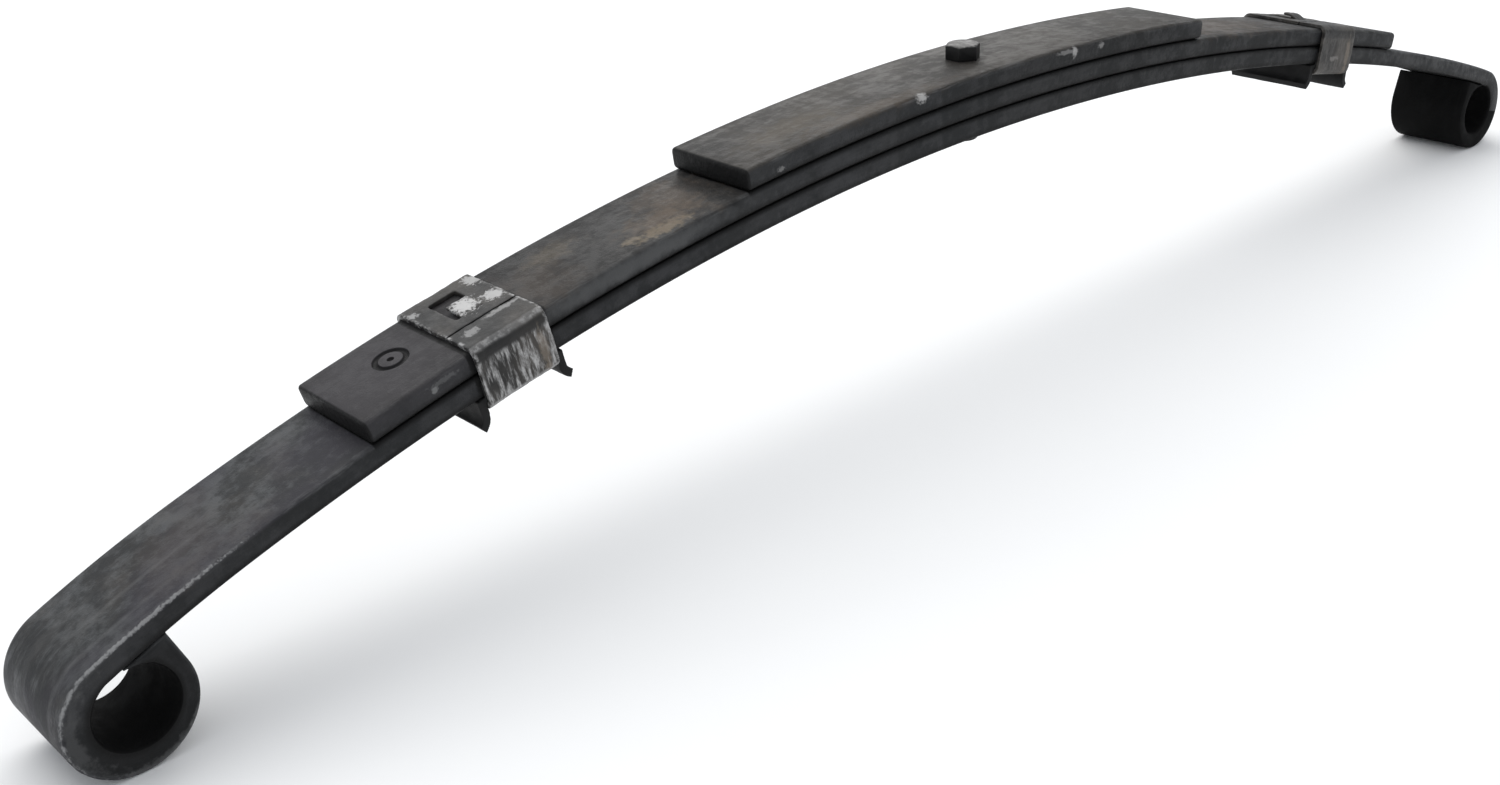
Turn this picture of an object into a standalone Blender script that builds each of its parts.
"""Three-leaf suspension spring, lying arch-up on its two rolled eyes.

Metres, +Z up. X runs along the spring from the short side to the long side, Y across the leaves.
The origin is under the middle of the spring, on the surface it stands on.
"""

import math

import bmesh
import bpy
from mathutils import Matrix, Vector

# Leaves: flat spring-steel bar, bent to one arc
LEAF_WIDTH = 0.0635
LEAF_THICKNESS = 0.0127
LEAF_EDGE_RADIUS = 0.003
LEAF_GAP = 0.0003
SHORT_SIDE_RADIUS = 1.67  # of the main leaf's hollow face
LONG_SIDE_RADIUS = 1.87
END_SET_RADIUS = 0.68  # the tighter arc that leads into each eye
SHORT_END_SET = 0.080
LONG_END_SET = 0.030

# Lengths along the leaf, from the centre bolt
MAIN_SHORT_SIDE = 0.606
MAIN_LONG_SIDE = 0.647
SECOND_SHORT_SIDE = 0.450
SECOND_LONG_SIDE = 0.467
THIRD_SHORT_SIDE = 0.2035
THIRD_LONG_SIDE = 0.2035
CENTRE_FLAT = 0.036  # the level stretch that the centre bolt clamps
BOLT_ROOM = 0.025  # the middle of that stretch, which the bolt's head and nut cover

# Eyes: the main leaf's ends, rolled down and bored
EYE_BORE_RADIUS = 0.0213
EYE_BORE_SHIFT = 0.0018  # the bore is off the roll's centre, so the wall thins towards the tip
EYE_BORE_SHIFT_ANGLE = math.radians(235)
EYE_THINNING = 0.0018
EYE_TRIM = 0.006  # taken off each side at the tip
EYE_THINNING_START = math.radians(150)
EYE_THINNING_END = math.radians(320)
EYE_SEAM = 0.0006  # gap between the tip and the leaf it is rolled against
EYE_TIP_EDGE = 0.0015
EYE_LAST_TURN = math.radians(350)
EYE_STEP = math.radians(7.5)

# Centre bolt and nut
BOLT_RADIUS = 0.00635
BOLT_HOLE_CLEARANCE = 0.00035
BOLT_HEAD_FLATS = 0.019
BOLT_HEAD_HEIGHT = 0.009
BOLT_END = 0.005  # beyond the nut
NUT_FLATS = 0.019
NUT_HEIGHT = 0.011
HEX_CHAMFER = 0.0012

# Clips and their liners
SHORT_CLIP_STATION = 0.366
LONG_CLIP_STATION = 0.378
CLIP_LENGTH = 0.044
CLIP_THICKNESS = 0.0025
CLIP_BEND_RADIUS = 0.0035  # inside the bend
CLIP_BUTT_FROM_MIDDLE = 0.0122  # where the two flaps meet, towards the side at -Y
CLIP_BUTT_GAP = 0.0008
CLIP_TOP_CLEARANCE = 0.0006
CLIP_EDGE_RADIUS = 0.0006
WINDOW_LENGTH = 0.018
WINDOW_WIDTH = 0.026
WINDOW_FROM_EDGE = 0.01265
TONGUE_LENGTH = 0.0135
TONGUE_INTO_WINDOW = 0.0145
TONGUE_ROOT = 0.006  # how far its foot is let into the flap
TONGUE_SKIN = 0.0005  # the tongue is thinner than the flaps by this on each face
LINER_THICKNESS = 0.0045
LINER_WALL = 0.0008
LINER_WALL_HEIGHT = 0.009
LINER_GAP = 0.0006
LINER_LIP_DROP = 0.0145
LINER_LIP_FLARE = 0.006
LINER_LIP_THICKNESS = 0.0032
LINER_LIP_START = 0.0009  # clear of the clip's edge
FIT_GAP = 0.0003

# How finely curves are stepped, and how cutters pass beyond what they cut
LEAF_STEP = 0.030
END_SET_STEP = 0.014
CORNER_POINTS = 4
BEND_STEPS = 4
BOLT_SIDES = 32
CUT_BEYOND = 0.002
LARGEST_EDGE_SHARE = 0.45  # an edge radius is never more than this share of the bar's thickness
SMOOTH_UNDER = math.radians(35)
CHAMFER_OVER = math.radians(50)
LEVELLING_ROUNDS = 4

ACROSS = Vector((0, 1, 0))
UP = Vector((0, 0, 1))


def material(name, colour, roughness, metallic):
    made = bpy.data.materials.new(name)
    made.use_nodes = True
    shader = made.node_tree.nodes["Principled BSDF"]
    shader.inputs["Base Color"].default_value = (*colour, 1)
    shader.inputs["Roughness"].default_value = roughness
    shader.inputs["Metallic"].default_value = metallic
    return made


# ---- The leaf line: every leaf, clip and bolt takes its place from it ----


def leaf_frame(station, height=0.0):
    """Point, tangent and normal at a distance along the leaf from the bolt, above the hollow face."""
    side = -1.0 if station < 0 else 1.0
    reach = abs(station)
    level = reach < CENTRE_FLAT / 2
    reach = max(reach, CENTRE_FLAT / 2)
    radius = SHORT_SIDE_RADIUS if station < 0 else LONG_SIDE_RADIUS
    set_start = MAIN_SHORT_SIDE - SHORT_END_SET if station < 0 else MAIN_LONG_SIDE - LONG_END_SET
    angle = min(reach, set_start) / radius
    x = radius * math.sin(angle)
    z = radius * (math.cos(angle) - 1)
    if reach > set_start:
        start_angle = angle
        angle += (reach - set_start) / END_SET_RADIUS
        x += END_SET_RADIUS * (math.sin(angle) - math.sin(start_angle))
        z += END_SET_RADIUS * (math.cos(angle) - math.cos(start_angle))
    normal = Vector((side * math.sin(angle), 0, math.cos(angle)))
    tangent = Vector((math.cos(angle), 0, -side * math.sin(angle)))
    if level:
        x = abs(station)
        normal = Vector((0, 0, 1))
        tangent = Vector((1, 0, 0))
    point = Vector((side * x, 0, z)) + normal * height
    return point, tangent, normal


def stations(short_side, long_side):
    """Distances along the leaf: level at the bolt, then even steps, closer together in the end sets."""
    half_flat = CENTRE_FLAT / 2
    found = [-BOLT_ROOM / 2, BOLT_ROOM / 2]
    sides = (
        (-1, short_side, MAIN_SHORT_SIDE - SHORT_END_SET),
        (1, long_side, MAIN_LONG_SIDE - LONG_END_SET),
    )
    for side, length, set_start in sides:
        plain = min(length, set_start)
        count = math.ceil((plain - half_flat) / LEAF_STEP)
        for index in range(count + 1):
            found.append(side * (half_flat + (plain - half_flat) * index / count))
        if length > set_start:
            count = math.ceil((length - set_start) / END_SET_STEP)
            for index in range(1, count + 1):
                found.append(side * (set_start + (length - set_start) * index / count))
    return sorted(found)


# ---- Bars swept along a line ----


def rounded_section(half_width, thickness, radius):
    """Corner points of a bar's section, as (across, up) pairs, from the foot of the section."""
    radius = min(radius, LARGEST_EDGE_SHARE * thickness)
    corners = (
        (half_width - radius, radius, -90),
        (half_width - radius, thickness - radius, 0),
        (radius - half_width, thickness - radius, 90),
        (radius - half_width, radius, 180),
    )
    points = []
    for across, up, start in corners:
        for index in range(CORNER_POINTS):
            turn = math.radians(start + 90 * index / (CORNER_POINTS - 1))
            points.append((across + radius * math.cos(turn), up + radius * math.sin(turn)))
    return points


def swept_bar(name, sections, finish):
    """A closed bar through the sections, each (foot, across, up, half_width, thickness, edge_radius)."""
    vertices = []
    faces = []
    for foot, across, up, half_width, thickness, radius in sections:
        for y, z in rounded_section(half_width, thickness, radius):
            vertices.append(foot + across * y + up * z)
    around = 4 * CORNER_POINTS
    for ring in range(len(sections) - 1):
        first = ring * around
        for index in range(around):
            after = (index + 1) % around
            near = (first + index, first + after)
            faces.append((*near, near[1] + around, near[0] + around))
    faces.append(tuple(range(around - 1, -1, -1)))
    faces.append(tuple(range(len(vertices) - around, len(vertices))))
    mesh = bpy.data.meshes.new(name)
    mesh.from_pydata(vertices, [], faces)
    return finished_object(name, mesh, finish)


def finished_object(name, mesh, finish):
    """Adds the mesh as an object with its faces outward, shaded smooth between sharp edges."""
    shape = bmesh.new()
    shape.from_mesh(mesh)
    bmesh.ops.recalc_face_normals(shape, faces=shape.faces)
    shape.to_mesh(mesh)
    shape.free()
    mesh.shade_smooth()
    mesh.set_sharp_from_angle(angle=SMOOTH_UNDER)
    mesh.materials.append(finish)
    made = bpy.data.objects.new(name, mesh)
    bpy.context.collection.objects.link(made)
    return made


def leaf_sections(short_side, long_side, height):
    sections = []
    for station in stations(short_side, long_side):
        foot, _, normal = leaf_frame(station, height)
        sections.append((foot, ACROSS, normal, LEAF_WIDTH / 2, LEAF_THICKNESS, LEAF_EDGE_RADIUS))
    return sections


# ---- Eyes ----


def bore_distance(turn):
    """From the roll's centre to the bore's wall, in the direction turned from the leaf's normal."""
    off = turn - EYE_BORE_SHIFT_ANGLE
    sideways = EYE_BORE_SHIFT * math.sin(off)
    return EYE_BORE_SHIFT * math.cos(off) + math.sqrt(EYE_BORE_RADIUS**2 - sideways**2)


EYE_INNER_RADIUS = bore_distance(0.0)
EYE_OUTER_RADIUS = EYE_INNER_RADIUS + LEAF_THICKNESS


def eye_centre(station):
    foot, tangent, normal = leaf_frame(station)
    return foot - normal * EYE_INNER_RADIUS, tangent, normal


def eye_sections(station):
    """Sections of the roll, from the leaf round to the tip that is rolled against the hollow face."""
    centre, tangent, normal = eye_centre(station)
    away = tangent if station > 0 else -tangent
    sections = []
    turn = EYE_STEP
    while True:
        direction = normal * math.cos(turn) + away * math.sin(turn)
        inner = bore_distance(turn)
        share = (turn - EYE_THINNING_START) / (EYE_THINNING_END - EYE_THINNING_START)
        share = min(max(share, 0.0), 1.0)
        outer = EYE_OUTER_RADIUS - EYE_THINNING * share
        if math.cos(turn) > 0 and turn > math.pi:
            outer = min(outer, (EYE_INNER_RADIUS - EYE_SEAM) / math.cos(turn))
        wall = outer - inner
        if wall < EYE_TIP_EDGE or turn > EYE_LAST_TURN:
            return sections
        half_width = LEAF_WIDTH / 2 - EYE_TRIM * share
        foot = centre + direction * inner
        sections.append((foot, ACROSS, direction, half_width, wall, LEAF_EDGE_RADIUS))
        turn += EYE_STEP


# ---- Level: the tilt and shift that stand the spring on both eyes ----


def levelling():
    """The matrix from the leaf line's frame to the world: both eyes on z = 0, x centred."""
    outline = []
    for station in (-MAIN_SHORT_SIDE, MAIN_LONG_SIDE):
        ring = []
        for foot, _, up, _, thickness, _ in eye_sections(station):
            ring.append(foot + up * thickness)
        outline.append(ring)
    tilt = 0.0
    for _ in range(LEVELLING_ROUNDS):
        turned = Matrix.Rotation(tilt, 4, "Y")
        lowest = []
        for ring in outline:
            lowest.append(min((turned @ point for point in ring), key=lambda point: point.z))
        tilt += math.atan2(lowest[1].z - lowest[0].z, lowest[1].x - lowest[0].x)
    turned = Matrix.Rotation(tilt, 4, "Y")
    everything = [turned @ point for ring in outline for point in ring]
    floor = min(point.z for point in everything)
    ends = [point.x for point in everything]
    middle = (min(ends) + max(ends)) / 2
    return Matrix.Translation((-middle, 0, -floor)) @ turned


# ---- Pieces ----


def make_main_leaf(finish):
    sections = list(reversed(eye_sections(-MAIN_SHORT_SIDE)))
    sections += leaf_sections(MAIN_SHORT_SIDE, MAIN_LONG_SIDE, 0.0)
    sections += eye_sections(MAIN_LONG_SIDE)
    return swept_bar("main_leaf", sections, finish)


def make_plain_leaf(name, order, short_side, long_side, finish):
    """A square-cut leaf, the given number of leaves above the main leaf."""
    height = order * (LEAF_THICKNESS + LEAF_GAP)
    return swept_bar(name, leaf_sections(short_side, long_side, height), finish)


def prism(name, outline, low, high, direction, finish):
    """A closed prism: the outline (a list of points) carried from low to high along the direction."""
    count = len(outline)
    vertices = [point + direction * low for point in outline]
    vertices += [point + direction * high for point in outline]
    faces = [tuple(range(count - 1, -1, -1)), tuple(range(count, 2 * count))]
    for index in range(count):
        after = (index + 1) % count
        faces.append((index, after, count + after, count + index))
    mesh = bpy.data.meshes.new(name)
    mesh.from_pydata(vertices, [], faces)
    return finished_object(name, mesh, finish)


def ring_points(radius, sides, turn=0.0):
    points = []
    for index in range(sides):
        angle = turn + 2 * math.pi * index / sides
        points.append(Vector((radius * math.cos(angle), radius * math.sin(angle), 0)))
    return points


def combine(target, other, operation):
    """A Boolean whose tool stays out of the model."""
    step = target.modifiers.new(operation.lower(), "BOOLEAN")
    step.operation = operation
    step.solver = "EXACT"
    step.object = other
    other.hide_render = True
    other.display_type = "WIRE"


def chamfer(target, width):
    step = target.modifiers.new("chamfer", "BEVEL")
    step.width = width
    step.segments = 1
    step.limit_method = "ANGLE"
    step.angle_limit = CHAMFER_OVER


STACK_TOP = 3 * LEAF_THICKNESS + 2 * LEAF_GAP


def drill_leaves(leaves, finish):
    """The bolt's hole, through every leaf."""
    hole = ring_points(BOLT_RADIUS + BOLT_HOLE_CLEARANCE, BOLT_SIDES)
    cutter = prism("bolt_hole_cutter", hole, -CUT_BEYOND, STACK_TOP + CUT_BEYOND, UP, finish)
    for leaf in leaves:
        combine(leaf, cutter, "DIFFERENCE")
    return cutter


def hexagon(across_flats):
    """The six corners, with two of the flats facing along the spring's width."""
    return ring_points(across_flats / 2 / math.cos(math.pi / 6), 6, math.pi / 6)


def make_center_bolt(finish):
    low = STACK_TOP + FIT_GAP
    head = prism("center_bolt", hexagon(BOLT_HEAD_FLATS), low, low + BOLT_HEAD_HEIGHT, UP, finish)
    chamfer(head, HEX_CHAMFER)
    shank_low = -FIT_GAP - NUT_HEIGHT - BOLT_END
    shank_ring = ring_points(BOLT_RADIUS, BOLT_SIDES)
    shank = prism("bolt_shank", shank_ring, shank_low, low + BOLT_HEAD_HEIGHT / 2, UP, finish)
    combine(head, shank, "UNION")
    return head, shank


def make_center_nut(finish):
    low = -FIT_GAP - NUT_HEIGHT
    nut = prism("center_nut", hexagon(NUT_FLATS), low, -FIT_GAP, UP, finish)
    chamfer(nut, HEX_CHAMFER)
    hole = ring_points(BOLT_RADIUS + FIT_GAP, BOLT_SIDES)
    bore = prism("nut_bore_cutter", hole, low - CUT_BEYOND, CUT_BEYOND, UP, finish)
    combine(nut, bore, "DIFFERENCE")
    return nut, bore


def arc_points(centre, radius, start, end, count):
    """(across, up) pairs along an arc, with both ends."""
    points = []
    for index in range(count + 1):
        turn = math.radians(start + (end - start) * index / count)
        points.append((centre[0] + radius * math.cos(turn), centre[1] + radius * math.sin(turn)))
    return points


def rectangle(origin, along, low, high, length):
    """Corners of a rectangle from low to high across the leaf, with its length along the leaf."""
    corners = []
    for across, reach in ((low, -1), (high, -1), (high, 1), (low, 1)):
        corners.append(origin + ACROSS * across + along * (reach * length / 2))
    return corners


def clip_outline():
    """The clip's inner faces: (half width, foot height, top height), above the main leaf's hollow face."""
    half = LEAF_WIDTH / 2 + 2 * FIT_GAP + LINER_WALL
    foot = -(LINER_GAP + LINER_THICKNESS + FIT_GAP)
    top = 2 * LEAF_THICKNESS + LEAF_GAP + CLIP_TOP_CLEARANCE
    return half, foot, top


def make_clip(name, station, finish):
    """A strip folded round the two long leaves: its flaps meet on top, one with a window."""
    origin, along, up = leaf_frame(station)
    half, foot, top = clip_outline()
    bend = CLIP_BEND_RADIUS
    butt = -CLIP_BUTT_FROM_MIDDLE
    bends = (
        (half - bend, top - bend, 90, 0),
        (half - bend, foot + bend, 0, -90),
        (bend - half, foot + bend, -90, -180),
        (bend - half, top - bend, 180, 90),
    )
    path = [(butt + CLIP_BUTT_GAP / 2, top, 90)]
    for across, height, start, end in bends:
        corner = arc_points((across, height), bend, start, end, BEND_STEPS)
        for index, (y, z) in enumerate(corner):
            path.append((y, z, start + (end - start) * index / BEND_STEPS))
    path.append((butt - CLIP_BUTT_GAP / 2, top, 90))
    sections = []
    for across, height, angle in path:
        turn = math.radians(angle)
        outward = ACROSS * math.cos(turn) + up * math.sin(turn)
        inner = origin + ACROSS * across + up * height
        sections.append(
            (inner, along, outward, CLIP_LENGTH / 2, CLIP_THICKNESS, CLIP_EDGE_RADIUS)
        )
    clip = swept_bar(name, sections, finish)

    outer = half + CLIP_THICKNESS
    window_high = outer - WINDOW_FROM_EDGE
    window_low = window_high - WINDOW_WIDTH
    window = rectangle(origin, along, window_low, window_high, WINDOW_LENGTH)
    high = top + CLIP_THICKNESS
    cutter = prism(name + "_window_cutter", window, top - CUT_BEYOND, high + CUT_BEYOND, up, finish)
    combine(clip, cutter, "DIFFERENCE")

    tip = window_low + TONGUE_INTO_WINDOW
    tongue = rectangle(origin, along, butt - TONGUE_ROOT, tip, TONGUE_LENGTH)
    plate = prism(name + "_tongue", tongue, top + TONGUE_SKIN, high - TONGUE_SKIN, up, finish)
    combine(clip, plate, "UNION")
    return clip, (cutter, plate)


def make_liner(name, station, finish):
    """A rubber saddle round the main leaf's hollow face, with flared lips that keep it in the clip."""
    origin, along, up = leaf_frame(station)
    seat = -LINER_GAP
    foot = seat - LINER_THICKNESS
    edge = LEAF_WIDTH / 2 + FIT_GAP
    half = edge + LINER_WALL
    corner = CLIP_BEND_RADIUS - FIT_GAP
    channel = [(edge, LINER_WALL_HEIGHT), (half, LINER_WALL_HEIGHT)]
    channel += arc_points((half - corner, foot + corner), corner, 0, -90, BEND_STEPS)
    channel += arc_points((corner - half, foot + corner), corner, -90, -180, BEND_STEPS)
    channel += [(-half, LINER_WALL_HEIGHT), (-edge, LINER_WALL_HEIGHT), (-edge, seat), (edge, seat)]
    outline = [origin + ACROSS * across + up * height for across, height in channel]
    end = CLIP_LENGTH / 2 + LINER_LIP_START
    half_lip = LINER_LIP_THICKNESS / 2
    liner = prism(name, outline, -end - half_lip, end + half_lip, along, finish)
    tip = end + LINER_LIP_FLARE
    lip_outline = (
        (end, seat),
        (end + LINER_LIP_THICKNESS, seat),
        (tip + LINER_LIP_THICKNESS, half_lip - LINER_LIP_DROP),
        (tip + half_lip, -LINER_LIP_DROP),
        (tip, half_lip - LINER_LIP_DROP),
        (end, foot - CLIP_THICKNESS),
    )
    lips = []
    for side in (-1, 1):
        outline = [origin + along * (side * reach) + up * height for reach, height in lip_outline]
        lips.append(prism(f"{name}_lip_{side + 1}", outline, -edge, edge, ACROSS, finish))
        combine(liner, lips[-1], "UNION")
    return liner, lips


# ---- How the clips follow the travel ----


def pivot_reach(station):
    """How far along X from the bolt a clip's pivot is, so that it tilts and drops with the leaf.

    A leaf bends as t * t * (3 - 2 * t) of the travel, with t from 0 at the eye to 1 at the bolt.
    """
    full = MAIN_SHORT_SIDE if station < 0 else MAIN_LONG_SIDE
    reach = abs(leaf_frame(station)[0].x)
    span = abs(eye_centre(math.copysign(full, station))[0].x)
    share = 1 - reach / span
    sink = share * share * (3 - 2 * share)
    slope = 6 * share * (1 - share) / span
    return math.copysign(reach + sink / slope, station)


def pivot_empty(name, place):
    made = bpy.data.objects.new(name, None)
    made.location = place
    bpy.context.collection.objects.link(made)
    return made


def hang(children, parent):
    """Parents the objects, which keep their places."""
    for child in children:
        child.parent = parent
        child.matrix_parent_inverse = parent.matrix_world.inverted()


def main():
    for old in list(bpy.data.objects):
        bpy.data.objects.remove(old)

    leaf_paint = material("leaf_paint", (0.075, 0.078, 0.08), 0.5, 0.1)
    bolt_steel = material("bolt_steel", (0.09, 0.085, 0.08), 0.45, 0.6)
    clip_steel = material("clip_steel", (0.16, 0.155, 0.15), 0.45, 0.6)
    liner_rubber = material("liner_rubber", (0.02, 0.02, 0.021), 0.75, 0.0)

    main_leaf = make_main_leaf(leaf_paint)
    second_leaf = make_plain_leaf("second_leaf", 1, SECOND_SHORT_SIDE, SECOND_LONG_SIDE, leaf_paint)
    third_leaf = make_plain_leaf("third_leaf", 2, THIRD_SHORT_SIDE, THIRD_LONG_SIDE, leaf_paint)
    hole_cutter = drill_leaves((main_leaf, second_leaf, third_leaf), leaf_paint)
    bolt, shank = make_center_bolt(bolt_steel)
    nut, nut_bore = make_center_nut(bolt_steel)

    level = levelling()
    clips = {}
    for side, station in (("short", -SHORT_CLIP_STATION), ("long", LONG_CLIP_STATION)):
        clip, clip_tools = make_clip(f"{side}_side_clip", station, clip_steel)
        liner, liner_tools = make_liner(f"{side}_side_clip_liner", station, liner_rubber)
        clips[side] = (station, [clip, liner, *clip_tools, *liner_tools])

    placed = [main_leaf, second_leaf, third_leaf, hole_cutter, bolt, shank, nut, nut_bore]
    for _, pieces in clips.values():
        placed += pieces
    for piece in placed:
        piece.matrix_world = level

    travel = pivot_empty("spring_travel_axis", level @ Vector((0, 0, 0)))
    bpy.context.view_layer.update()
    hang([second_leaf, third_leaf, bolt, shank, nut, nut_bore], travel)
    for side, (station, pieces) in clips.items():
        height = leaf_frame(station)[0].z
        place = level @ Vector((pivot_reach(station), 0, height))
        pivot = pivot_empty(f"{side}_clip_pivot", place)
        bpy.context.view_layer.update()
        hang(pieces, pivot)


main()
